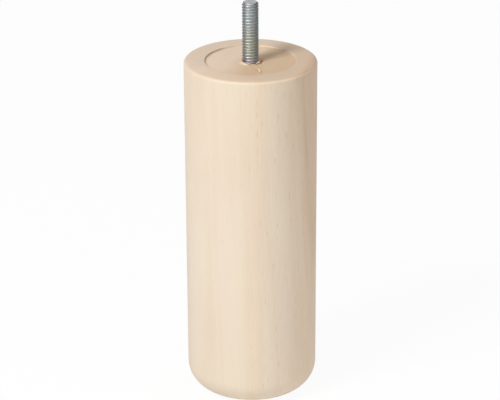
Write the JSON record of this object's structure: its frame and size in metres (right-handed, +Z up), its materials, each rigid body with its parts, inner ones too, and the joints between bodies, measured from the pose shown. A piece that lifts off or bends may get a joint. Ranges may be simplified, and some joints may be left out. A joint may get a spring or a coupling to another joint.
{
  "type": "wooden furniture leg",
  "caption": "Turned round wooden furniture leg with a softly rounded foot, a shallow recess in its top and a threaded steel stud to screw it in place.",
  "frame": {"origin": "centre of the flat foot face, on the leg's axis", "axes": "+Z up along the leg's axis, out of the foot face towards the threaded stud; the leg is round, so +X and +Y are free"},
  "size_m": [0.0635, 0.0634, 0.1989],
  "materials": {
    "beech": "fine-sanded raw beech, unfinished",
    "zinc_plated_steel": "bright zinc plate"
  },
  "bodies": {
    "root": {"turned_leg": "beech", "hanger_bolt": "zinc_plated_steel"}
  },
  "joints": []
}
